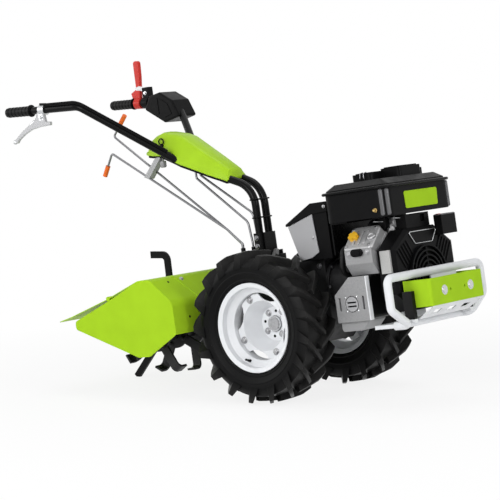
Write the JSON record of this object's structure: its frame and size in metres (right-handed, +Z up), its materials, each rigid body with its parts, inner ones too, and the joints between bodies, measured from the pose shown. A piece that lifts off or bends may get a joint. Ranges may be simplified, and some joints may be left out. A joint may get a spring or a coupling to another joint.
{
  "type": "walking tractor with rear tiller",
  "caption": "Two-wheel walking tractor with an open V-twin engine, white bumper, swivelling handlebar and a hooded rear tiller, parked on its wheels and depth spur.",
  "frame": {"origin": "on the floor under the middle of the parked machine", "axes": "+X forward towards the engine, +Y to the machine's left, +Z up"},
  "size_m": [1.9524, 0.8, 1.2881],
  "materials": {
    "bare_steel": "brushed",
    "black_paint": "satin",
    "black_plastic": "matte",
    "blade_steel": "satin",
    "dark_casting": "cast",
    "grey_casting": "cast",
    "grip_rubber": "matte",
    "lime_paint": "gloss",
    "lime_plastic": "gloss",
    "muffler_grey": "satin",
    "orange_plastic": "gloss",
    "plate_grey": "satin",
    "red_plastic": "gloss",
    "tiller_iron": "painted",
    "tyre_rubber": "matte",
    "white_paint": "gloss",
    "yellow_plastic": "gloss"
  },
  "bodies": {
    "chassis": {"gearbox": "dark_casting", "clutch_bell": "dark_casting", "engine_block": "dark_casting", "right_cylinder": "grey_casting", "left_cylinder": "grey_casting", "right_valve_cover": "grey_casting", "left_valve_cover": "grey_casting", "oil_cap": "yellow_plastic", "carburettor": "dark_casting", "blower_housing": "black_plastic", "shroud_plates": "bare_steel", "fan_screen": "black_plastic", "fuel_tank": "black_plastic", "tank_top": "black_plastic", "air_cleaner": "black_plastic", "tank_stand": "black_paint", "muffler": "muffler_grey", "muffler_guard": "muffler_grey", "muffler_outlet": "muffler_grey", "battery_box": "black_plastic", "electrical_box": "black_plastic", "bumper": "white_paint", "front_plate": "lime_paint", "skid_plate": "white_paint", "tiller_case": "tiller_iron", "hood_centre": "lime_paint", "right_hood_wing": "lime_paint", "left_hood_wing": "lime_paint", "spur": "black_paint", "spur_holder": "black_paint", "head_shields": "muffler_grey", "breather_hose": "grip_rubber", "battery_plates": "plate_grey"},
    "right_wheel": {"right_tyre": "tyre_rubber", "right_rim": "white_paint", "right_wheel_disc": "white_paint", "right_wheel_hub": "bare_steel"},
    "left_wheel": {"left_tyre": "tyre_rubber", "left_rim": "white_paint", "left_wheel_disc": "white_paint", "left_wheel_hub": "bare_steel"},
    "rotor": {"rotor_shaft": "bare_steel", "right_tines": "blade_steel", "left_tines": "blade_steel"},
    "handlebar": {"column_base": "black_paint", "right_handle_tube": "black_paint", "left_handle_tube": "black_paint", "right_grip": "grip_rubber", "left_grip": "grip_rubber", "console_cover": "lime_plastic", "console_tray": "black_paint", "hand_lever": "bare_steel", "stop_lever": "red_plastic", "throttle_perch": "black_plastic", "control_box": "black_plastic", "gear_rods": "bare_steel", "rod_knobs": "orange_plastic", "rod_bracket": "black_paint", "control_cables": "black_plastic"},
    "flap": {"rear_flap": "lime_paint"}
  },
  "joints": [
    {"name": "right_wheel_spin", "type": "hinge", "parent": "chassis", "child": "right_wheel", "pos_m": [0.2721, -0.253, 0.285], "axis": [0, 1, 0], "continuous": true},
    {"name": "left_wheel_spin", "type": "hinge", "parent": "chassis", "child": "left_wheel", "pos_m": [0.2721, 0.253, 0.285], "axis": [0, 1, 0], "continuous": true},
    {"name": "rotor_spin", "type": "hinge", "parent": "chassis", "child": "rotor", "pos_m": [-0.21495, 0, 0.23109], "axis": [0, 1, 0], "continuous": true},
    {"name": "handlebar_swing", "type": "hinge", "parent": "chassis", "child": "handlebar", "pos_m": [0.09688, 0, 0.51763], "axis": [-0.1202, 0, 0.9928], "range_deg": [-30, 30]},
    {"name": "flap_lift", "type": "hinge", "parent": "chassis", "child": "flap", "pos_m": [-0.38369, 0, 0.37687], "axis": [0, 1, 0], "range_deg": [0, 45]}
  ]
}
